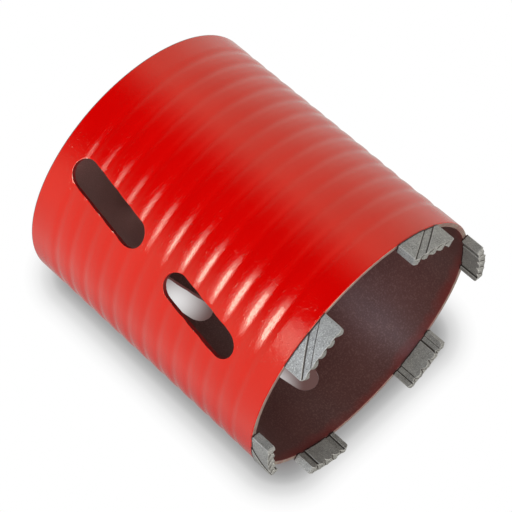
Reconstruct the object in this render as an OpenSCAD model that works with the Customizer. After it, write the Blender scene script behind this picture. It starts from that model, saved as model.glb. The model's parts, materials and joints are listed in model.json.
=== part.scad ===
// Dry diamond core bit: a steel barrel rolled with shallow ribs, with three slanted pairs of
// slots, six brazed diamond segments round its mouth, and a welded back plate that carries a
// threaded hub. It stands on the barrel's back rim, mouth up, with the axis on Z.

/* [Barrel] */
// Outside diameter of the barrel
barrel_d = 114; // [96:1:160]
// Length of the barrel, back rim to mouth
barrel_len = 118.8; // [116:0.1:160]
// Wall of the barrel
wall = 2; // [1.6:0.1:3]
// Bevel on the edges of the mouth and of the back rim
rim_bevel = 0.3; // [0.1:0.05:0.5]

/* [Ribs] */
// Distance from one rolled rib to the next
rib_pitch = 7.9; // [6.5:0.1:10]
// Depth of the hollows between the ribs
rib_depth = 0.5; // [0.2:0.05:0.7]
// Plain band between the mouth and the first rib
mouth_band = 8.5; // [6:0.1:14]
// Least plain band left at the back rim
back_band = 7; // [5:0.1:12]

/* [Slots] */
// Width of each slot
slot_w = 12; // [9:0.5:14]
// Length of the slots near the mouth, end to end
front_slot_len = 37; // [30:0.5:40]
// Length of the slots near the back, end to end
rear_slot_len = 40; // [30:0.5:42]
// Distance from the mouth to the front slots
slot_from_mouth = 19; // [14:0.5:22]
// Distance from the back plate's inner face to the rear slots
slot_above_plate = 0.3; // [0.2:0.1:3]
// Lean of the slots away from the barrel's axis, in degrees
slot_lean = 10.3; // [0:0.1:15]
// Number of slot pairs round the barrel
slot_columns = 3; // [2:1:4]

/* [Segments] */
// Number of diamond segments
seg_n = 6; // [4:1:8]
// Length of a segment, measured round its outer face
seg_len = 23.6; // [16:0.1:30]
// Height of a segment above the barrel's mouth
seg_h = 8.8; // [6:0.1:12]
// How far a segment stands out past the barrel
seg_out = 0.4; // [0.2:0.05:1]
// How far a segment stands in past the barrel's bore
seg_in = 1; // [0.4:0.05:1.5]
// Angle from one segment to the middle of the next slot pair
seg_turn = 15; // [0:1:30]
// Corner radius at the two ends of the crown
seg_corner = 1.4; // [0.6:0.1:2]

/* [Crown teeth] */
// Number of rounded teeth along a segment's crown
tooth_n = 5; // [3:1:6]
// Distance from one tooth to the next
tooth_pitch = 4.9; // [3.5:0.1:6]
// Radius of each tooth's rounded top
tooth_r = 2.6; // [2.5:0.1:3.4]
// Depth between the teeth at the inner face
tooth_drop = 1.3; // [0.6:0.1:1.6]
// Depth between the teeth at the outer face, where they almost run out
tooth_drop_out = 0.15; // [0.1:0.05:0.5]

/* [Segment channels] */
// Width of the slanted channel on the outer face
scarf_w = 3.1; // [1.5:0.1:4]
// Depth of the slanted channel
scarf_depth = 0.5; // [0.2:0.05:0.7]
// Lean of the slanted channel away from the axis, in degrees
scarf_lean = 61.5; // [45:0.5:70]
// Distance round the face from its middle to the channel, at mid height
scarf_shift = 1.4; // [0:0.1:3]
// Width of the two upright channels on the inner face
key_w = 2.8; // [1.5:0.1:3.5]
// Depth of the upright channels
key_depth = 0.7; // [0.3:0.05:0.9]
// Distance from the end of the segment to the middle of its upright channel
key_inset = 3.7; // [3:0.1:6]

/* [Back plate and hub] */
// How far the back plate is set in from the back rim
plate_recess = 3; // [2.6:0.1:4]
// Thickness of the back plate
plate_t = 5; // [4:0.5:8]
// Gap for the weld between the back plate and the barrel
plate_gap = 0.1; // [0.05:0.05:0.25]
// Leg of the weld round the back plate
plate_weld = 2; // [1:0.1:2.4]
// Outside diameter of the hub
hub_d = 32; // [26:1:40]
// Diameter of the hub's flange, behind the back plate
flange_d = 44; // [42:1:56]
// Thickness of the flange
flange_t = 2.5; // [2:0.1:2.5]
// How far the hub stands in from the back plate
hub_rise = 16; // [10:0.5:24]
// Gap between the hub and the hole in the back plate
hub_gap = 0.05; // [0.05:0.05:0.2]
// Leg of the weld round the flange
flange_weld = 1.5; // [1:0.1:1.9]
// Outside diameter of the spindle thread
thread_d = 16; // [14:1:20]
// Pitch of the spindle thread
thread_pitch = 2; // [1.5:0.5:2]

/* [Hidden] */

$fn = 96;
// Overshoot that lets a cut run clear of the face it opens
past = 1;

barrel_r = barrel_d / 2;
bore_r = barrel_r - wall;

// The wave is made of equal arcs that meet at half depth, a quarter of the pitch from a crest
wave_quarter = rib_pitch / 4;
wave_r = (pow(wave_quarter, 2) + pow(rib_depth / 2, 2)) / rib_depth;
rib_n = floor((barrel_len - mouth_band - back_band) / rib_pitch);
first_hollow_z = barrel_len - mouth_band - rib_pitch / 2;

plate_top = plate_recess + plate_t;
plate_r = bore_r - plate_gap;
flange_z = plate_recess - flange_t;
hub_top = plate_top + hub_rise;
thread_depth = 1.0825 * thread_pitch;
thread_bore_r = (thread_d - thread_depth) / 2;
thread_lead_in = thread_depth / 2 + 0.3;
hub_bevel = 1;

// Middle of each slot along the axis, and the height at which a pair crosses its own line
rear_slot_z = plate_top + slot_above_plate + rear_slot_len / 2;
front_slot_z = barrel_len - slot_from_mouth - front_slot_len / 2;
pair_z = (rear_slot_z + front_slot_z) / 2;

seg_outer_r = barrel_r + seg_out;
seg_inner_r = bore_r - seg_in;
seg_arc = seg_len / seg_outer_r * 180 / PI;
crown_z = barrel_len + seg_h;

module color_paint() {
    color([0.78, 0.08, 0.06]) children();
}

module color_sinter() {
    color([0.5, 0.5, 0.48]) children();
}

module color_steel() {
    color([0.45, 0.44, 0.43]) children();
}

// Half section of the barrel's wall, with the rib wave along its outer edge
module barrel_section() {
    difference() {
        polygon([
            [bore_r, rim_bevel],
            [bore_r + rim_bevel, 0],
            [barrel_r - rim_bevel, 0],
            [barrel_r, rim_bevel],
            [barrel_r, barrel_len - rim_bevel],
            [barrel_r - rim_bevel, barrel_len],
            [bore_r + rim_bevel, barrel_len],
            [bore_r, barrel_len - rim_bevel]
        ]);
        for (i = [0 : rib_n - 1])
            translate([0, first_hollow_z - i * rib_pitch])
                rib_hollow();
    }
}

// One hollow of the wave: a round trough that rolls over into the crests on its two sides
module rib_hollow() {
    translate([barrel_r - rib_depth + wave_r, 0]) circle(r = wave_r);
    for (side = [-1, 1])
        difference() {
            translate([barrel_r - rib_depth / 2, side > 0 ? wave_quarter : -2 * wave_quarter])
                square([rib_depth, wave_quarter]);
            translate([barrel_r - wave_r, side * 2 * wave_quarter]) circle(r = wave_r);
        }
}

// A slot with round ends, cut straight through the wall that faces +X
module slot_cut(length) {
    reach = wall + 2 * past;
    rotate([-slot_lean, 0, 0])
        translate([bore_r - past, 0, 0])
            rotate([0, 90, 0]) {
                translate([(slot_w - length) / 2, -slot_w / 2, 0]) cube([length - slot_w, slot_w, reach]);
                for (end = [-1, 1])
                    translate([end * (length - slot_w) / 2, 0, 0]) cylinder(d = slot_w, h = reach);
            }
}

// A slot at height z, turned so that both slots of a pair lie on one leaning line
module slot_at(z, length) {
    turn = (z - pair_z) * tan(slot_lean) / barrel_r * 180 / PI;
    rotate([0, 0, turn])
        translate([0, 0, z])
            slot_cut(length);
}

module barrel() {
    color_paint()
        difference() {
            rotate_extrude() barrel_section();
            for (i = [0 : slot_columns - 1])
                rotate([0, 0, -90 + i * 360 / slot_columns]) {
                    slot_at(front_slot_z, front_slot_len);
                    slot_at(rear_slot_z, rear_slot_len);
                }
        }
}

// Disc set into the back of the barrel, with the weld that runs round its back face
module back_plate() {
    color_paint()
        rotate_extrude()
            polygon([
                [hub_d / 2 + hub_gap, plate_recess],
                [plate_r - plate_weld, plate_recess],
                [plate_r, plate_recess - plate_weld],
                [plate_r, plate_top],
                [hub_d / 2 + hub_gap, plate_top]
            ]);
}

// Turned bush: a flange against the plate's back face and a boss that reaches into the barrel
module hub() {
    color_steel()
        rotate_extrude()
            polygon([
                [thread_bore_r + thread_lead_in, flange_z],
                [flange_d / 2 - flange_weld, flange_z],
                [flange_d / 2 - flange_weld, plate_recess - flange_weld],
                [flange_d / 2, plate_recess],
                [hub_d / 2, plate_recess],
                [hub_d / 2, hub_top - hub_bevel],
                [hub_d / 2 - hub_bevel, hub_top],
                [thread_bore_r + thread_lead_in, hub_top],
                [thread_bore_r, hub_top - thread_lead_in],
                [thread_bore_r, flange_z + thread_lead_in]
            ]);
}

// Body of a segment, up to the floor between the teeth, which falls away towards the inner face
module segment_body() {
    rotate([0, 0, -seg_arc / 2])
        rotate_extrude(angle = seg_arc)
            polygon([
                [seg_inner_r, barrel_len],
                [seg_outer_r, barrel_len],
                [seg_outer_r, crown_z - tooth_drop_out],
                [seg_inner_r, crown_z - tooth_drop]
            ]);
}

// Rounded teeth that run across the crown, kept within the segment's own arc
module segment_teeth() {
    tooth_angle = tooth_pitch / seg_outer_r * 180 / PI;
    intersection() {
        rotate([0, 0, -seg_arc / 2])
            rotate_extrude(angle = seg_arc)
                translate([seg_inner_r, crown_z - 2 * tooth_drop])
                    square([seg_outer_r - seg_inner_r, 2 * tooth_drop + past]);
        union()
            for (i = [0 : tooth_n - 1])
                rotate([0, 0, (i - (tooth_n - 1) / 2) * tooth_angle])
                    translate([seg_inner_r - 2 * past, 0, crown_z - tooth_r])
                        rotate([0, 90, 0])
                            cylinder(r = tooth_r, h = seg_outer_r - seg_inner_r + 4 * past);
    }
}

// What is taken off to round one end of the crown
module crown_corner() {
    depth = seg_outer_r - seg_inner_r + 4 * past;
    translate([seg_inner_r - 2 * past, 0, crown_z - seg_corner])
        difference() {
            translate([0, -seg_corner, 0]) cube([depth, seg_corner + past, seg_corner + past]);
            translate([-past, -seg_corner, 0]) rotate([0, 90, 0]) cylinder(r = seg_corner, h = depth + 2 * past);
        }
}

// Slanted channel of even depth that follows the curve of the outer face
module scarf_cut() {
    intersection() {
        difference() {
            translate([0, 0, barrel_len - past]) cylinder(r = seg_outer_r + past, h = seg_h + 2 * past);
            translate([0, 0, barrel_len - 2 * past]) cylinder(r = seg_outer_r - scarf_depth, h = seg_h + 4 * past);
        }
        rotate([0, 0, scarf_shift / seg_outer_r * 180 / PI])
            translate([seg_inner_r, 0, barrel_len + seg_h / 2])
                rotate([-scarf_lean, 0, 0])
                    translate([0, -scarf_w / 2, -seg_len])
                        cube([seg_outer_r - seg_inner_r + 2 * past, scarf_w, 2 * seg_len]);
    }
}

// Upright channel on the inner face, the same distance in from either end
module key_cut(side) {
    turn = side * (seg_len / 2 - key_inset) / seg_outer_r * 180 / PI;
    rotate([0, 0, turn])
        translate([seg_inner_r - past, -key_w / 2, barrel_len - past])
            cube([key_depth + past, key_w, seg_h + 2 * past]);
}

// One diamond segment, brazed to the mouth: i counts round from the first one
module segment(i) {
    color_sinter()
        rotate([0, 0, seg_turn + i * 360 / seg_n])
            difference() {
                union() {
                    segment_body();
                    segment_teeth();
                }
                rotate([0, 0, seg_arc / 2]) crown_corner();
                mirror([0, 1, 0]) rotate([0, 0, seg_arc / 2]) crown_corner();
                scarf_cut();
                for (side = [-1, 1])
                    key_cut(side);
            }
}

barrel();
back_plate();
hub();
segment(0);  // segment_1
segment(1);  // segment_2
segment(2);  // segment_3
segment(3);  // segment_4
segment(4);  // segment_5
segment(5);  // segment_6
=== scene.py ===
import json
import math

import bmesh
import bpy
from mathutils import Euler, Matrix, Vector, noise

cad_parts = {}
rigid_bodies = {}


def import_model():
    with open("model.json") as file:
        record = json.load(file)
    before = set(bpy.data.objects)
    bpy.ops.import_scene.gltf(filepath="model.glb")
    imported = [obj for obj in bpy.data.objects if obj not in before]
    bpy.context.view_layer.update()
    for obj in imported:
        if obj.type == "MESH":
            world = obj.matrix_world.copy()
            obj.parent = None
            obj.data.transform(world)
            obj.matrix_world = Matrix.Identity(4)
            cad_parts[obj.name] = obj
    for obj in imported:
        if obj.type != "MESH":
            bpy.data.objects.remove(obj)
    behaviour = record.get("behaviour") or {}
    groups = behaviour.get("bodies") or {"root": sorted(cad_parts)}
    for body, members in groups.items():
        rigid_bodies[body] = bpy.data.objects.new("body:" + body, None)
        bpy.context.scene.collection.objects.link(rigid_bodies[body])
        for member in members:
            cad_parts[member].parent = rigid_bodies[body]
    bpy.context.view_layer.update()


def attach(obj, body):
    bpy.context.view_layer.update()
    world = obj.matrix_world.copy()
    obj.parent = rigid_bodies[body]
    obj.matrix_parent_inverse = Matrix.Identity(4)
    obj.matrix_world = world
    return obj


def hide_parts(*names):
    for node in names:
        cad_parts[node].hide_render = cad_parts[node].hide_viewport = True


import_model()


# Camera
# A long lens above the side of the barrel, rolled so that the mouth points to the lower right
# of the frame, as it does when the bit lies on its side on a white table.
camera_data = bpy.data.cameras.new("camera")
camera_data.lens = 125.709
camera_data.sensor_width = 36.0
camera_data.clip_start = 0.01
camera_data.clip_end = 30.0
camera = bpy.data.objects.new("camera", camera_data)
camera.location = (-0.279952, -0.562786, 0.314669)
camera.rotation_euler = Euler([math.radians(a) for a in (-58.66435, -44.49529, 130.4)], "XYZ")
bpy.context.collection.objects.link(camera)
bpy.context.scene.camera = camera
bpy.context.scene.view_settings.view_transform = "Standard"


# Studio
# Pale walls all round, shaded by direction, with a dark gap over the lying bit. Two soft boxes on
# one side, a small one just in front of a large one, draw the short bright strokes on the ribs,
# and two bright patches in front of the mouth light the segments. The camera sees a white page.
TABLE_UP = Vector((-0.7615, -0.6481, 0.0))     # away from the table that the bit lies on
TABLE_SIDE = Vector((-0.6481, 0.7615, 0.0))    # along the table, across the barrel
BARREL_BACK = Vector((0.0, 0.0, -1.0))         # along the barrel, from the mouth to the back
MIDDLE = Vector((0.0, 0.0, 0.06))
LAMP_COLOR = (0.92, 1.0, 1.18)
WALL_COLOR = (0.828, 0.80, 0.765, 1.0)
# Each row: towards where (up, side, back), the factor far from there and right there, and the two
# cosines between which it changes.
WALL_SHADES = (((0.87, -0.30, 0.40), 0.82, 0.0, 0.60, 0.97),     # dark gap overhead
               ((0.1, 0.75, 0.2), 0.93, 1.30, -0.9, 0.9),        # lighter on the far side
               ((-1.0, 0.0, 0.0), 1.05, 0.37, 0.68, 1.0),        # dim below
               ((0.0, 0.0, -1.0), 1.0, 0.15, -0.1, 0.7),         # dark in front of the mouth
               ((0.0, 0.0, 1.0), 0.93, 1.09, 0.1, 0.7),          # lighter past the back end
               ((0.73, 0.55, 0.37), 1.0, 0.78, 0.75, 1.0),       # dimmer high on the far side
               ((-0.60, 0.70, 0.38), 1.0, 0.80, 0.90, 0.99))     # dimmer low on the far side
MOUTH_LIGHTS = (((0.0, 0.0, -1.0), 0.0, 2.3, 0.80, 0.93),
                ((0.60, -0.45, -0.66), 0.0, 1.80, 0.75, 0.95))


def soft_box(name, spot, size, watts):
    """An oval soft box that faces the bit from a spot (up, side, back)."""
    up, side, back = spot
    data = bpy.data.lights.new(name, "AREA")
    data.shape = "ELLIPSE"
    data.size, data.size_y = size
    data.energy = watts
    data.color = LAMP_COLOR
    lamp = bpy.data.objects.new(name, data)
    lamp.location = MIDDLE + TABLE_UP * up + TABLE_SIDE * side + BARREL_BACK * back
    away = lamp.location - MIDDLE
    upright = BARREL_BACK.cross(away).normalized()
    facing = Matrix((upright.cross(away).normalized(), upright, away.normalized())).transposed()
    lamp.rotation_euler = facing.to_euler()
    bpy.context.collection.objects.link(lamp)


soft_box("stroke_box", spot=(0.977, -1.273, 0.18), size=(0.70, 1.20), watts=3.7)
soft_box("stroke_core", spot=(0.957, -1.247, 0.13), size=(0.34, 0.78), watts=6.3)

world = bpy.data.worlds.new("studio")
bpy.context.scene.world = world
world.use_nodes = True
tree = world.node_tree
tree.nodes.clear()
view_way = tree.nodes.new("ShaderNodeTexCoord").outputs["Generated"]


def reckon(tree, operation, first, second=0.0):
    """One sum with two values, each a number or a socket."""
    sum_node = tree.nodes.new("ShaderNodeMath")
    sum_node.operation = operation
    for socket, value in zip(sum_node.inputs, (first, second)):
        if isinstance(value, float):
            socket.default_value = value
        else:
            tree.links.new(value, socket)
    return sum_node.outputs["Value"]


def reach_along(tree, spot, way):
    """How far a point or direction reaches along another direction."""
    dot = tree.nodes.new("ShaderNodeVectorMath")
    dot.operation = "DOT_PRODUCT"
    dot.inputs[1].default_value = way
    tree.links.new(spot, dot.inputs[0])
    return dot.outputs["Value"]


def levels(tree, value, low, high, from_low=0.0, from_high=1.0, eased=False):
    """Stretches a value from one range to another, clamped, and eased at both ends if asked."""
    step = tree.nodes.new("ShaderNodeMapRange")
    if eased:
        step.interpolation_type = "SMOOTHSTEP"
    step.inputs["From Min"].default_value = from_low
    step.inputs["From Max"].default_value = from_high
    step.inputs["To Min"].default_value = low
    step.inputs["To Max"].default_value = high
    tree.links.new(value, step.inputs["Value"])
    return step.outputs["Result"]


def wall_shade(tree, toward, far, there, from_dot, to_dot):
    """A factor that changes as the view turns towards a direction (up, side, back)."""
    up, side, back = toward
    way = (TABLE_UP * up + TABLE_SIDE * side + BARREL_BACK * back).normalized()
    return levels(tree, reach_along(tree, view_way, way), far, there, from_dot, to_dot, eased=True)


strength = wall_shade(tree, *WALL_SHADES[0])
for shade in WALL_SHADES[1:]:
    strength = reckon(tree, "MULTIPLY", strength, wall_shade(tree, *shade))
for patch in MOUTH_LIGHTS:
    strength = reckon(tree, "ADD", strength, wall_shade(tree, *patch))
studio_light = tree.nodes.new("ShaderNodeBackground")
studio_light.inputs["Color"].default_value = WALL_COLOR
tree.links.new(strength, studio_light.inputs["Strength"])
white_page = tree.nodes.new("ShaderNodeBackground")
white_page.inputs["Color"].default_value = (1, 1, 1, 1)
seen = tree.nodes.new("ShaderNodeLightPath")
choose = tree.nodes.new("ShaderNodeMixShader")
tree.links.new(seen.outputs["Is Camera Ray"], choose.inputs["Fac"])
tree.links.new(studio_light.outputs["Background"], choose.inputs[1])
tree.links.new(white_page.outputs["Background"], choose.inputs[2])
out = tree.nodes.new("ShaderNodeOutputWorld")
tree.links.new(choose.outputs["Shader"], out.inputs["Surface"])


# Table
# The white table top that the lying bit touches along its side, drawn from above only, and only to
# the camera, so it never hides the bit from behind. Its soft shadow is painted into its colour, as
# wide as the barrel and brown where the red bore lights it, with two painted bright spots where
# light falls in by the slots.
TABLE_HALF, TABLE_DROP = 3.0, 0.05705           # half its side; how far it lies below the axis
SHADOW_SIDE, SHADOW_SIDE_HALF = 0.006, 0.036    # middle and half width of the darkest strip
SHADOW_Z, SHADOW_Z_HALF = 0.0525, 0.0555        # the same along the barrel
SHADOW_FADE = 0.030                             # how far beyond the strip the shadow ends
SHADOW_STOPS = ((0.0, (0.13, 0.07, 0.065)), (0.17, (0.20, 0.18, 0.18)),
                (0.40, (0.36, 0.36, 0.36)), (0.50, (0.50, 0.50, 0.50)),
                (0.57, (0.65, 0.65, 0.65)), (0.67, (0.77, 0.77, 0.77)),
                (0.74, (0.87, 0.87, 0.87)), (0.84, (0.95, 0.95, 0.95)),
                (0.95, (1.0, 1.0, 1.0)))
SLOT_LIGHTS = ((-0.015, 0.031, 0.72, 0.017),    # across, along, brightness, radius
               (-0.015, 0.085, 0.75, 0.015))

tabletop = bmesh.new()
bmesh.ops.create_grid(tabletop, x_segments=1, y_segments=1, size=TABLE_HALF)
turn = Matrix((TABLE_SIDE, BARREL_BACK, TABLE_UP)).transposed().to_4x4()
bmesh.ops.transform(tabletop, matrix=turn, verts=tabletop.verts)
bmesh.ops.translate(tabletop, vec=TABLE_UP * -TABLE_DROP, verts=tabletop.verts)
table_mesh = bpy.data.meshes.new("table")
tabletop.to_mesh(table_mesh)
tabletop.free()
table = bpy.data.objects.new("table", table_mesh)
bpy.context.collection.objects.link(table)

paper = bpy.data.materials.new("table_paper")
paper.use_nodes = True
tree = paper.node_tree
tree.nodes.clear()


def axes_of(tree, spot):
    """The three coordinates of a point."""
    split = tree.nodes.new("ShaderNodeSeparateXYZ")
    tree.links.new(spot, split.inputs["Vector"])
    return split.outputs["X"], split.outputs["Y"], split.outputs["Z"]


def past_band(tree, value, middle, half):
    """How far a value lies outside a band, and 0 inside it."""
    off = reckon(tree, "ABSOLUTE", reckon(tree, "SUBTRACT", value, middle))
    return reckon(tree, "MAXIMUM", reckon(tree, "SUBTRACT", off, half))


def span(tree, across_it, along_it):
    """Length of the step with these two sides."""
    corner = tree.nodes.new("ShaderNodeCombineXYZ")
    tree.links.new(across_it, corner.inputs["X"])
    tree.links.new(along_it, corner.inputs["Y"])
    length = tree.nodes.new("ShaderNodeVectorMath")
    length.operation = "LENGTH"
    tree.links.new(corner.outputs["Vector"], length.inputs[0])
    return length.outputs["Value"]


def blend_colors(tree, amount, first, second):
    """Mixes two colours, each a colour or a socket, by a value socket."""
    mix = tree.nodes.new("ShaderNodeMix")
    mix.data_type = "RGBA"
    tree.links.new(amount, mix.inputs["Factor"])
    for side_name, side_color in (("A", first), ("B", second)):
        socket = [s for s in mix.inputs if s.name == side_name and s.type == "RGBA"][0]
        if isinstance(side_color, tuple):
            socket.default_value = (*side_color, 1)
        else:
            tree.links.new(side_color, socket)
    return [s for s in mix.outputs if s.type == "RGBA"][0]


spot = tree.nodes.new("ShaderNodeTexCoord").outputs["Object"]
side, along = reach_along(tree, spot, TABLE_SIDE), axes_of(tree, spot)[2]
beyond = span(tree, past_band(tree, side, SHADOW_SIDE, SHADOW_SIDE_HALF),
              past_band(tree, along, SHADOW_Z, SHADOW_Z_HALF))
# Painted shadow: a ramp of greys by distance from the strip under the barrel.
fade = tree.nodes.new("ShaderNodeValToRGB")
for k, (stop, color) in enumerate(SHADOW_STOPS):
    mark = fade.color_ramp.elements[k] if k < 2 else fade.color_ramp.elements.new(stop)
    mark.position = stop
    mark.color = (*color, 1)
tree.links.new(reckon(tree, "DIVIDE", beyond, SHADOW_FADE), fade.inputs["Fac"])
page_color = fade.outputs["Color"]
# Painted light: two bright spots blended in where light falls in by the slots.
for spot_side, spot_along, brightness, radius in SLOT_LIGHTS:
    off = span(tree, reckon(tree, "SUBTRACT", side, spot_side),
               reckon(tree, "SUBTRACT", along, spot_along))
    page_color = blend_colors(tree, levels(tree, off, brightness, 0.0, 0.0, radius, eased=True),
                              page_color, (1.0, 1.0, 1.0))
glow = tree.nodes.new("ShaderNodeEmission")
tree.links.new(page_color, glow.inputs["Color"])
clear = tree.nodes.new("ShaderNodeBsdfTransparent")
under = tree.nodes.new("ShaderNodeNewGeometry")
one_sided = tree.nodes.new("ShaderNodeMixShader")
tree.links.new(under.outputs["Backfacing"], one_sided.inputs["Fac"])
tree.links.new(glow.outputs["Emission"], one_sided.inputs[1])
tree.links.new(clear.outputs["BSDF"], one_sided.inputs[2])
out = tree.nodes.new("ShaderNodeOutputMaterial")
tree.links.new(one_sided.outputs["Shader"], out.inputs["Surface"])
table_mesh.materials.append(paper)
for rays in ("visible_diffuse", "visible_glossy", "visible_transmission", "visible_shadow"):
    setattr(table, rays, False)


# Barrel
# A rolled and seam-welded steel tube with one shallow spiral rib pressed along it and three leaning
# pairs of slots punched through the wall. It has gloss red paint outside, a darker red on the slot
# walls that paints in their shade, bare metal at the mouth, and dull overspray inside.
BARREL_R, BORE_R, BARREL_LEN = 57.0, 55.0, 118.8
RIB_PITCH, RIB_DEPTH, RIB_CREST = 7.95, 0.28, 114.15
RIB_WAVE = (0.61, 0.5, 0.11)                    # middle height, and the first two waves on it
RIBS_FROM, RIBS_TO, RIB_RUN_OUT = 6.0, 111.5, 4.0
SLOT_COLUMNS, FIRST_COLUMN = 3, -90             # how many, and where round the tube, in degrees
SLOT_W, SLOT_LEAN, SLOT_LINE_Z = 12.0, math.radians(10.3), 54.8
SLOTS = ((81.3, 37.0), (28.3, 40.0))            # middle and length of each slot in a column
SLOT_ARC_STEPS = 16
SLOT_LIP, LIP_DROP, LIP_DROP_INSIDE = 0.4, 0.05, 0.12
SLOT_MARGIN = 4.0                               # sheet around a slot that may need scoring
WORN_EDGE, CLEAN_EDGE = 0.45, 0.3               # bevels of the outer mouth edge and of the others
PAINT_INTO_BACK, BACK_BEVEL_TO = 2.5, 0.35      # how far in the paint goes; top of the bevels
COLUMNS, ROWS = 128, 300
PAINTED, OVERSPRAYED, BARE, SHEARED = range(4)  # places of the four finishes on the barrel


def slot_outline(middle_z, length, grow, column):
    """Corners of one slot on the unrolled sheet, anticlockwise, grown by a margin."""
    turn = (middle_z - SLOT_LINE_Z) * math.tan(SLOT_LEAN)
    angle = math.radians(FIRST_COLUMN + 360 // SLOT_COLUMNS * column)
    middle = Vector((angle * BARREL_R + turn, middle_z))
    half, r = (length - SLOT_W) / 2, SLOT_W / 2 + grow
    corners = []
    for end, start in ((1, 0.0), (-1, math.pi)):
        for k in range(SLOT_ARC_STEPS + 1):
            a = start + math.pi * k / SLOT_ARC_STEPS
            corners.append(Vector((r * math.cos(a), end * half + r * math.sin(a))))
    lean = Matrix.Rotation(-SLOT_LEAN, 2)
    return [middle + lean @ c for c in corners]


def cut_outline(sheet, faces, corners):
    """Scores an outline into the sheet and returns the faces inside it."""
    for here, there in zip(corners, corners[1:] + corners[:1]):
        along = (there - here).normalized()
        outward = Vector((along.y, -along.x, 0.0))
        parts = set(faces)
        for f in faces:
            parts.update(f.edges)
            parts.update(f.verts)
        cut = bmesh.ops.bisect_plane(sheet, geom=list(parts), dist=0.01,
                                     plane_co=(here.x, here.y, 0.0), plane_no=outward)
        faces = [f for f in cut["geom"] if isinstance(f, bmesh.types.BMFace)
                 and (f.calc_center_median() - here.to_3d()).dot(outward) < 0]
    return faces


def rib_height(angle, z):
    """Height of the spiral rib, 0 to 1: broad round crests that meet in narrow hollows."""
    crest = RIB_CREST + RIB_PITCH * angle / (2 * math.pi)
    x = 2 * math.pi * (z - crest) / RIB_PITCH
    wave = RIB_WAVE[0] + RIB_WAVE[1] * math.cos(x) - RIB_WAVE[2] * math.cos(2 * x)
    at_mouth = min(1.0, max(0.0, (RIBS_TO - z) / RIB_RUN_OUT))
    at_back = min(1.0, max(0.0, (z - RIBS_FROM) / RIB_RUN_OUT))
    runs_out = at_mouth * at_back
    return 1 - (1 - wave) * runs_out * runs_out * (3 - 2 * runs_out)


def rim_edges(shape):
    """Edges that run round the tube at its very back and at its very mouth."""
    rims = []
    for e in shape.edges:
        here, there = e.verts[0].co, e.verts[1].co
        if (not e.is_boundary and here.z == there.z
                and (here.z < 0.01 or here.z > BARREL_LEN - 0.01)
                and abs(here.xy.length - there.xy.length) < 0.01):
            rims.append(e)
    return rims


def finish_mesh(shape, name, sharp):
    """Smooths a millimetre shape apart from its sharp edges, and makes it an object in metres."""
    for f in shape.faces:
        f.smooth = True
    for e in shape.edges:
        if len(e.link_faces) == 2 and e.calc_face_angle() > math.radians(sharp):
            e.smooth = False
    bmesh.ops.scale(shape, vec=(0.001, 0.001, 0.001), verts=shape.verts)
    mesh = bpy.data.meshes.new(name)
    shape.to_mesh(mesh)
    shape.free()
    piece = bpy.data.objects.new(name, mesh)
    bpy.context.collection.objects.link(piece)
    return piece


sheet = bmesh.new()
bmesh.ops.create_grid(sheet, x_segments=COLUMNS, y_segments=ROWS, size=0.5)
bmesh.ops.scale(sheet, vec=(2 * math.pi * BARREL_R, BARREL_LEN, 1.0), verts=sheet.verts)
bmesh.ops.translate(sheet, vec=(0.0, BARREL_LEN / 2, 0.0), verts=sheet.verts)
lip = sheet.verts.layers.int.new("lip")
for column in range(SLOT_COLUMNS):
    for middle_z, length in SLOTS:
        rough = slot_outline(middle_z, length, SLOT_LIP + SLOT_MARGIN, column)
        low = Vector((min(c.x for c in rough), min(c.y for c in rough)))
        high = Vector((max(c.x for c in rough), max(c.y for c in rough)))
        near = []
        for f in sheet.faces:
            middle = f.calc_center_median()
            if low.x < middle.x < high.x and low.y < middle.y < high.y:
                near.append(f)
        inside = cut_outline(sheet, near, slot_outline(middle_z, length, SLOT_LIP, column))
        inside = cut_outline(sheet, inside, slot_outline(middle_z, length, 0.0, column))
        bmesh.ops.delete(sheet, geom=inside, context="FACES")
edge_x = math.pi * BARREL_R - 0.01
for e in sheet.edges:
    if e.is_boundary:
        for v in e.verts:
            if abs(v.co.x) < edge_x and 1.0 < v.co.y < BARREL_LEN - 1.0:
                v[lip] = 1
inner = bmesh.ops.extrude_face_region(sheet, geom=list(sheet.faces))
inner_verts = {g for g in inner["geom"] if isinstance(g, bmesh.types.BMVert)}
inner_faces = {g for g in inner["geom"] if isinstance(g, bmesh.types.BMFace)}
for f in sheet.faces:
    f.smooth = True
    f.material_index = OVERSPRAYED if f in inner_faces else PAINTED
seam = [f for f in sheet.faces if all(abs(v.co.x) > edge_x for v in f.verts)]
bmesh.ops.delete(sheet, geom=seam, context="FACES_ONLY")
for v in sheet.verts:
    angle, z = v.co.x / BARREL_R, v.co.y
    if v in inner_verts:
        r = BORE_R + (LIP_DROP_INSIDE if v[lip] else 0.0)
    else:
        r = BARREL_R - RIB_DEPTH * (1 - rib_height(angle, z)) - (LIP_DROP if v[lip] else 0.0)
    v.co = (r * math.cos(angle), r * math.sin(angle), z)
bmesh.ops.remove_doubles(sheet, verts=sheet.verts, dist=0.002)
worn = [e for e in rim_edges(sheet)
        if e.verts[0].co.z > 1.0 and e.verts[0].co.xy.length > BARREL_R - 0.5]
bmesh.ops.bevel(sheet, geom=worn, offset=WORN_EDGE, offset_type="OFFSET", affect="EDGES",
                segments=4, profile=0.5, material=-1)
clean = [e for e in rim_edges(sheet)
         if e.verts[0].co.z < 1.0 or e.verts[0].co.xy.length < BORE_R + 0.5]
bmesh.ops.bevel(sheet, geom=clean, offset=CLEAN_EDGE, offset_type="OFFSET", affect="EDGES",
                segments=2, profile=0.5, material=-1)
bmesh.ops.recalc_face_normals(sheet, faces=sheet.faces)
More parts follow.
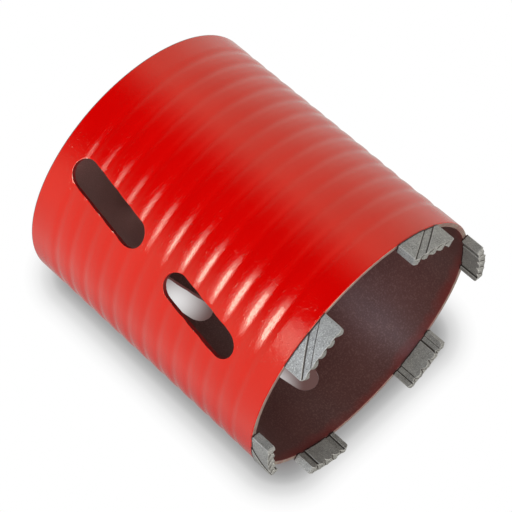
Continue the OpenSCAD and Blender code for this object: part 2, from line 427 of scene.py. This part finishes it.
for f in sheet.faces:
    middle = f.calc_center_median()
    outward = abs(f.normal.dot(middle * Vector((1, 1, 0)))) / middle.xy.length
    if middle.z < PAINT_INTO_BACK:
        f.material_index = PAINTED
    elif outward < 0.3 and middle.z < BARREL_LEN - 1.0:
        f.material_index = SHEARED
    if f.normal.z > 0.8 and middle.z > BARREL_LEN - 1.0:
        f.material_index = BARE
    if middle.z < BACK_BEVEL_TO and abs(f.normal.z) < 0.9:
        f.material_index = OVERSPRAYED
ribbed_barrel = finish_mesh(sheet, "ribbed_barrel", sharp=38)


def new_finish(name):
    """A material with its Principled shader and an Object coordinate to hang patterns on."""
    finish = bpy.data.materials.new(name)
    finish.use_nodes = True
    tree = finish.node_tree
    shader = tree.nodes["Principled BSDF"]
    return finish, tree, shader, tree.nodes.new("ShaderNodeTexCoord").outputs["Object"]


def speckle(tree, spot, scale, detail=2.0, rough=0.5, stretch=None):
    """Noise value, 0 to 1, with its grain size set by scale, in cells per metre."""
    if stretch:
        turn = tree.nodes.new("ShaderNodeMapping")
        turn.inputs["Scale"].default_value = stretch
        tree.links.new(spot, turn.inputs["Vector"])
        spot = turn.outputs["Vector"]
    grain = tree.nodes.new("ShaderNodeTexNoise")
    grain.inputs["Scale"].default_value = scale
    grain.inputs["Detail"].default_value = detail
    grain.inputs["Roughness"].default_value = rough
    tree.links.new(spot, grain.inputs["Vector"])
    return grain.outputs["Fac"]


def ragged(tree, spot, value, scale, reach):
    """Shifts a value to and fro by up to reach, so that an edge drawn at it comes out ragged."""
    wander = levels(tree, speckle(tree, spot, scale, 3.0, 0.6), -reach, reach, 0.3, 0.7)
    return reckon(tree, "ADD", value, wander)


def grain_bump(tree, shader, value, distance, strength=1.0, under=None):
    """Raises a fine relief of that depth, in metres, from a value."""
    bump = tree.nodes.new("ShaderNodeBump")
    bump.inputs["Distance"].default_value = distance
    bump.inputs["Strength"].default_value = strength
    tree.links.new(value, bump.inputs["Height"])
    if under:
        tree.links.new(under, bump.inputs["Normal"])
    tree.links.new(bump.outputs["Normal"], shader.inputs["Normal"])
    return bump.outputs["Normal"]


red_paint, tree, shader, spot = new_finish("red_paint")
cloud = levels(tree, speckle(tree, spot, 35, 3.0), 0, 1, 0.3, 0.7)
tree.links.new(blend_colors(tree, cloud, (0.69, 0.0008, 0.0005), (0.75, 0.0014, 0.0008)),
               shader.inputs["Base Color"])
flake = speckle(tree, spot, 2400, 2.0, 0.6)
tree.links.new(levels(tree, flake, 0.08, 0.13, 0.3, 0.7), shader.inputs["Roughness"])
peel = grain_bump(tree, shader, speckle(tree, spot, 320, 2.0), 0.00002)
peel = grain_bump(tree, shader, flake, 0.000014, 1.0, peel)
nibs = levels(tree, speckle(tree, spot, 1700, 1.0), 0, 1, 0.58, 0.72)
grain_bump(tree, shader, nibs, 0.00002, 1.0, peel)
shader.inputs["IOR"].default_value = 1.65
shader.inputs["Specular Tint"].default_value = (1.0, 0.97, 0.66, 1.0)
ribbed_barrel.data.materials.append(red_paint)

bore_coat, tree, shader, spot = new_finish("bore_overspray")
cloud = levels(tree, speckle(tree, spot, 60, 4.0, 0.6), 0, 1, 0.3, 0.7)
steel_brown = blend_colors(tree, cloud, (0.126, 0.046, 0.042), (0.160, 0.063, 0.056))
dust = speckle(tree, spot, 1500, 2.0, 0.7)
steel_brown = blend_colors(tree, levels(tree, dust, 0, 0.75, 0.50, 0.64), steel_brown,
                           (0.26, 0.135, 0.125))
mist_z = ragged(tree, spot, axes_of(tree, spot)[2], scale=90, reach=0.0015)
tree.links.new(blend_colors(tree, levels(tree, mist_z, 0.0, 0.65, 0.1145, 0.1190), steel_brown,
                            (0.30, 0.028, 0.022)), shader.inputs["Base Color"])
tree.links.new(levels(tree, dust, 0.38, 0.55, 0.3, 0.7), shader.inputs["Roughness"])
grain_bump(tree, shader, dust, 0.00004)
shader.inputs["Metallic"].default_value = 0.2
shader.inputs["Coat Weight"].default_value = 0.6
shader.inputs["Coat IOR"].default_value = 1.7
shader.inputs["Coat Roughness"].default_value = 0.32
ribbed_barrel.data.materials.append(bore_coat)

bare_rim, tree, shader, spot = new_finish("mouth_rim")
wear = speckle(tree, spot, 260, 4.0, 0.65)
tree.links.new(blend_colors(tree, levels(tree, wear, 0, 1, 0.4, 0.6), (0.42, 0.23, 0.20),
                            (0.44, 0.36, 0.30)), shader.inputs["Base Color"])
shader.inputs["Metallic"].default_value = 0.5
shader.inputs["Roughness"].default_value = 0.42
grain_bump(tree, shader, wear, 0.00002)
ribbed_barrel.data.materials.append(bare_rim)

# A darker copy of the red paint on the slot walls: painted shade.
slot_wall_shaded_red, tree, shader, spot = new_finish("slot_wall_shaded_red")
shear = speckle(tree, spot, 300, 3.0, 0.6)
tree.links.new(blend_colors(tree, levels(tree, shear, 0, 1, 0.3, 0.7), (0.15, 0.006, 0.005),
                            (0.24, 0.008, 0.007)), shader.inputs["Base Color"])
tree.links.new(levels(tree, shear, 0.35, 0.5), shader.inputs["Roughness"])
grain_bump(tree, shader, shear, 0.00002)
ribbed_barrel.data.materials.append(slot_wall_shaded_red)
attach(ribbed_barrel, "root")
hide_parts("barrel")


# Back plate
# A steel disc welded inside the back end of the tube. The weld lies in the corner between the disc
# and the tube as one rippled bead, and is painted over with the outside.
PLATE_HOLE_R, PLATE_EDGE_R, PLATE_BACK_Z, PLATE_FRONT_Z = 16.05, 54.9, 3.0, 8.0
PLATE_CHAMFER, PLATE_RING_R = 0.3, 34.0         # bevel of the hole, and a ring that halves the disc
CORNER_WELD_FROM, CORNER_WELD_TO, CORNER_WELD_RISE = (52.3, PLATE_BACK_Z), (54.95, 0.7), 0.55
WELD_STEPS = 8
PLATE_INSIDE_Z = 5.0                            # faces above this take the finish of the bore


def weld_line(start, end, rise):
    """Profile points of a weld bead that bulges between two points."""
    start, end = Vector(start), Vector(end)
    along = (end - start).normalized()
    outward = Vector((along.y, -along.x)) * rise
    return [start.lerp(end, k / WELD_STEPS) + outward * math.sin(math.pi * k / WELD_STEPS)
            for k in range(1, WELD_STEPS)]


def spun_shape(points, steps, closed=True):
    """A profile of (radius, height) points in millimetres, spun once round the axis."""
    shape = bmesh.new()
    verts = [shape.verts.new((r, 0.0, z)) for r, z in points]
    loop = verts[1:] + (verts[:1] if closed else [])
    edges = [shape.edges.new(pair) for pair in zip(verts, loop)]
    bmesh.ops.spin(shape, geom=verts + edges, cent=(0, 0, 0), axis=(0, 0, 1), angle=2 * math.pi,
                   steps=steps, use_merge=True, use_duplicate=False)
    bmesh.ops.remove_doubles(shape, verts=shape.verts, dist=0.001)
    bmesh.ops.recalc_face_normals(shape, faces=shape.faces)
    return shape


def ripple_weld(shape, middle_r, middle_z, reach, ripples, depth):
    """Presses the ripples of a hand-fed weld into the part of a shape near one ring."""
    moves = []
    for v in shape.verts:
        r, angle = v.co.xy.length, math.atan2(v.co.y, v.co.x)
        far = math.hypot(r - middle_r, v.co.z - middle_z) / reach
        if far < 1:
            wander = 0.25 * noise.noise(v.co * 0.35)
            phase = angle * ripples / (2 * math.pi) - 0.45 * (1 - far * far) + wander
            wave = 0.5 + 0.5 * math.cos(2 * math.pi * phase)
            lump = 0.6 * noise.noise(v.co * 0.12 + Vector((9.0, 4.0, 1.0)))
            moves.append((v, (wave - 0.7 + lump) * depth * (1 - far * far)))
    for v, push in moves:
        v.co += v.normal * push


disc = spun_shape([(PLATE_HOLE_R, PLATE_BACK_Z + PLATE_CHAMFER),
                   (PLATE_HOLE_R + PLATE_CHAMFER, PLATE_BACK_Z), (PLATE_RING_R, PLATE_BACK_Z),
                   CORNER_WELD_FROM]
                  + weld_line(CORNER_WELD_FROM, CORNER_WELD_TO, CORNER_WELD_RISE)
                  + [CORNER_WELD_TO, (PLATE_EDGE_R, PLATE_FRONT_Z), (PLATE_RING_R, PLATE_FRONT_Z),
                     (PLATE_HOLE_R + PLATE_CHAMFER, PLATE_FRONT_Z),
                     (PLATE_HOLE_R, PLATE_FRONT_Z - PLATE_CHAMFER)], steps=840)
ripple_weld(disc, middle_r=53.6, middle_z=1.85, reach=1.85, ripples=210, depth=0.17)
for f in disc.faces:
    f.material_index = 1 if f.calc_center_median().z > PLATE_INSIDE_Z else 0
welded_plate = finish_mesh(disc, "welded_plate", sharp=50)
welded_plate.data.materials.append(red_paint)
welded_plate.data.materials.append(bore_coat)
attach(welded_plate, "root")
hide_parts("back_plate")


# Hub
# A turned steel bush with a female thread for the drill's spindle. Its flange sits on the back
# plate, held by a bead round the edge, and paint from the plate runs over that bead.
THREAD_PITCH, THREAD_R, THREAD_BORE_R = 2.0, 8.0, 6.9175
THREAD_STEPS, THREAD_TURNS, TURNS_BEFORE = 60, 14, 1.6   # steps a turn, turns, turns before the hub
HUB_BACK_Z, HUB_FRONT_Z, HUB_MOUTH_R = 0.5, 24.0, 8.3
FLANGE_R, FLANGE_EDGE_Z, FLANGE_FRONT_Z, BUSH_R = 20.5, 1.5, 3.0, 16.0
BUSH_CORNER = [(BUSH_R, 23.0), (15.7, 23.5), (15.3, 23.8), (14.8, HUB_FRONT_Z)]
FLANGE_WELD_R, FLANGE_WELD_Z, FLANGE_WELD_RISE = 22.0, 1.3, 0.35

bush = spun_shape([(HUB_MOUTH_R + 0.1, HUB_BACK_Z), (FLANGE_R - 0.3, HUB_BACK_Z),
                   (FLANGE_R, HUB_BACK_Z + 0.3), (FLANGE_R, FLANGE_EDGE_Z)]
                  + weld_line((FLANGE_R, FLANGE_WELD_Z), (FLANGE_WELD_R, FLANGE_FRONT_Z),
                              FLANGE_WELD_RISE)
                  + [(FLANGE_WELD_R, FLANGE_FRONT_Z), (BUSH_R, FLANGE_FRONT_Z)] + BUSH_CORNER
                  + [(HUB_MOUTH_R + 0.1, HUB_FRONT_Z)], steps=512, closed=False)
ripple_weld(bush, middle_r=21.2, middle_z=2.2, reach=1.2, ripples=86, depth=0.13)

flank = bmesh.new()
groove = [(THREAD_R, 0.0), (THREAD_R, 0.16), (THREAD_BORE_R + 0.02, 0.83), (THREAD_BORE_R, 0.9),
          (THREAD_BORE_R, 1.26), (THREAD_BORE_R + 0.02, 1.33), (THREAD_R, THREAD_PITCH)]
start_z = HUB_BACK_Z - TURNS_BEFORE * THREAD_PITCH
verts = [flank.verts.new((r, 0.0, z + start_z)) for r, z in groove]
edges = [flank.edges.new(pair) for pair in zip(verts, verts[1:])]
bmesh.ops.spin(flank, geom=verts + edges, cent=(0, 0, 0), axis=(0, 0, 1),
               dvec=(0, 0, THREAD_PITCH / THREAD_STEPS), angle=2 * math.pi * THREAD_TURNS,
               steps=THREAD_STEPS * THREAD_TURNS, use_merge=False, use_duplicate=False)
bmesh.ops.remove_doubles(flank, verts=flank.verts, dist=0.002)
for cut_z, side in ((HUB_BACK_Z, -1), (HUB_FRONT_Z, 1)):
    bmesh.ops.bisect_plane(flank, geom=flank.verts[:] + flank.edges[:] + flank.faces[:],
                           dist=0.0001, plane_co=(0, 0, cut_z), plane_no=(0, 0, side),
                           clear_outer=True)
for v in flank.verts:
    r, z = v.co.xy.length, v.co.z
    mouth_r = HUB_MOUTH_R - min(z - HUB_BACK_Z, HUB_FRONT_Z - z)
    if r < mouth_r:
        v.co.xy *= mouth_r / r
thread_mesh = bpy.data.meshes.new("thread")
flank.to_mesh(thread_mesh)
flank.free()
bush.from_mesh(thread_mesh)
bpy.data.meshes.remove(thread_mesh)
for ring_z in (HUB_BACK_Z, HUB_FRONT_Z):
    ring = [e for e in bush.edges
            if e.is_boundary and all(abs(v.co.z - ring_z) < 0.0002 for v in e.verts)]
    bmesh.ops.bridge_loops(bush, edges=ring)
bmesh.ops.recalc_face_normals(bush, faces=bush.faces)
threaded_hub = finish_mesh(bush, "threaded_hub", sharp=32)

turned_steel, tree, shader, spot = new_finish("turned_steel")
x, y, z = axes_of(tree, spot)
radius = span(tree, x, y)
tool_path = tree.nodes.new("ShaderNodeCombineXYZ")
tree.links.new(radius, tool_path.inputs["X"])
tree.links.new(z, tool_path.inputs["Y"])
lathe = speckle(tree, tool_path.outputs["Vector"], 5200, 2.0, 0.6)
smudge = levels(tree, speckle(tree, spot, 140, 3.0, 0.6), 0, 1, 0.35, 0.65)
steel = blend_colors(tree, smudge, (0.46, 0.45, 0.44), (0.56, 0.55, 0.54))
paint_edge = ragged(tree, spot, radius, scale=500, reach=0.0006)
painted = levels(tree, paint_edge, 0, 1, 0.0199, 0.0202)
tree.links.new(blend_colors(tree, painted, steel, (0.70, 0.003, 0.002)),
               shader.inputs["Base Color"])
tree.links.new(levels(tree, painted, 1.0, 0.0), shader.inputs["Metallic"])
tree.links.new(levels(tree, lathe, 0.24, 0.42, 0.3, 0.7), shader.inputs["Roughness"])
grain_bump(tree, shader, lathe, 0.000012)
threaded_hub.data.materials.append(turned_steel)
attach(threaded_hub, "root")
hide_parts("hub")


# Segments
# Six blocks of diamond grit sintered in metal and brazed to the mouth of the tube. Each is pressed
# with a crown of short teeth and with channels for dust, and comes out of the mould slightly
# rounded and pitted. Its corners are darkened by dirt and painted shade, its ridges lightened by
# wear and a painted highlight, and a thin line of painted shade marks the joint at its foot.
SEGMENTS = 6
SINTER_VOXEL = 0.16
HOLLOW_DEPTH, HOLLOW_SPREAD = 0.000013, 2       # metres that count as a full hollow; times blurred
LUMPS, LUMP_HEIGHT = 900, 0.000016              # cells a metre, and metres
PITS, PIT_LEVEL, PIT_DEPTH = 2100, 0.38, 0.00020
CORNER_LEVEL, CORNER_DEPTH = 0.6, 0.0003

sinter, tree, shader, spot = new_finish("sinter")
cloud = levels(tree, speckle(tree, spot, 300, 3.0, 0.6), 0, 1, 0.35, 0.65)
base = blend_colors(tree, cloud, (0.275, 0.277, 0.262), (0.345, 0.347, 0.33))
grit = speckle(tree, spot, 2600, 2.0, 0.7)
base = blend_colors(tree, levels(tree, grit, 0, 1, 0.56, 0.66), base, (0.58, 0.59, 0.54))
pores = speckle(tree, spot, 1700, 2.0, 0.7, (1.0, 1.0, 1.3))
base = blend_colors(tree, levels(tree, pores, 0, 0.9, 0.61, 0.69), base, (0.07, 0.065, 0.06))
hollow = tree.nodes.new("ShaderNodeAttribute")
hollow.attribute_name = "hollow"
# Corners darker: dirt and painted shade in the hollows.
crevice_dirt_and_shade = levels(tree, hollow.outputs["Fac"], 0, 0.94, 0.55, 0.68)
base = blend_colors(tree, crevice_dirt_and_shade, base, (0.045, 0.035, 0.03))
# Ridges lighter: rubbed wear and a painted highlight on the edges.
rubbed_and_lit_edges = levels(tree, hollow.outputs["Fac"], 0.35, 0, 0.10, 0.40)
base = blend_colors(tree, rubbed_and_lit_edges, base, (0.62, 0.61, 0.57))
# A thin band of painted shade round the foot, where the segment meets the rim.
foot_z = ragged(tree, spot, axes_of(tree, spot)[2], scale=700, reach=0.00012)
foot_shade_line = levels(tree, foot_z, 0.97, 0.0, 0.1192, 0.1195)
tree.links.new(blend_colors(tree, foot_shade_line, base, (0.035, 0.007, 0.006)),
               shader.inputs["Base Color"])
shader.inputs["Metallic"].default_value = 0.3
tree.links.new(levels(tree, grit, 0.60, 0.42, 0.45, 0.65), shader.inputs["Roughness"])
relief = grain_bump(tree, shader, pores, 0.00004, 0.6)
grain_bump(tree, shader, grit, 0.00002, 0.6, relief)


def mark_hollows(shape, layer):
    """Writes to each point how hollow it lies: 0 on a ridge, 0.5 on a flat, 1 in a corner."""
    for v in shape.verts:
        mean = sum((e.other_vert(v).co for e in v.link_edges), Vector()) / len(v.link_edges)
        v[layer] = (mean - v.co).dot(v.normal)
    for i in range(HOLLOW_SPREAD):
        mixed = [0.5 * v[layer]
                 + 0.5 * sum(e.other_vert(v)[layer] for e in v.link_edges) / len(v.link_edges)
                 for v in shape.verts]
        for v, value in zip(shape.verts, mixed):
            v[layer] = value
    for v in shape.verts:
        v[layer] = min(1.0, max(0.0, 0.5 + 0.5 * v[layer] / HOLLOW_DEPTH))


for number in range(1, SEGMENTS + 1):
    pressed = bmesh.new()
    pressed.from_mesh(bpy.data.objects["segment_%d" % number].data)
    bmesh.ops.remove_doubles(pressed, verts=pressed.verts, dist=0.000001)
    rough = bpy.data.meshes.new("rough_segment")
    pressed.to_mesh(rough)
    pressed.free()
    block = bpy.data.objects.new("rough_segment", rough)
    bpy.context.collection.objects.link(block)
    grains = block.modifiers.new("grains", "REMESH")
    grains.mode = "VOXEL"
    grains.voxel_size = SINTER_VOXEL * 0.001
    bpy.context.view_layer.update()
    grained = block.evaluated_get(bpy.context.evaluated_depsgraph_get())
    made = bpy.data.meshes.new_from_object(grained)
    bpy.data.objects.remove(block)
    bpy.data.meshes.remove(rough)
    pressed = bmesh.new()
    pressed.from_mesh(made)
    bmesh.ops.recalc_face_normals(pressed, faces=pressed.faces)
    bmesh.ops.smooth_vert(pressed, verts=pressed.verts, factor=0.5, use_axis_x=True,
                          use_axis_y=True, use_axis_z=True)
    pressed.normal_update()
    hollow_layer = pressed.verts.layers.float.new("hollow")
    mark_hollows(pressed, hollow_layer)
    moves = []
    for v in pressed.verts:
        lumps = noise.noise(v.co * LUMPS + Vector((number, 0, 0)))
        pits = max(0.0, noise.noise(v.co * PITS + Vector((0, number, 0))) - PIT_LEVEL)
        corner = max(0.0, v[hollow_layer] - CORNER_LEVEL)
        moves.append(v.normal * (LUMP_HEIGHT * lumps - PIT_DEPTH * pits - CORNER_DEPTH * corner))
    for v, move in zip(pressed.verts, moves):
        v.co += move
    for f in pressed.faces:
        f.smooth = True
    pressed.to_mesh(made)
    pressed.free()
    made.name = "sintered_segment_%d" % number
    segment = bpy.data.objects.new(made.name, made)
    bpy.context.collection.objects.link(segment)
    segment.data.materials.clear()
    segment.data.materials.append(sinter)
    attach(segment, "root")
    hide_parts("segment_%d" % number)
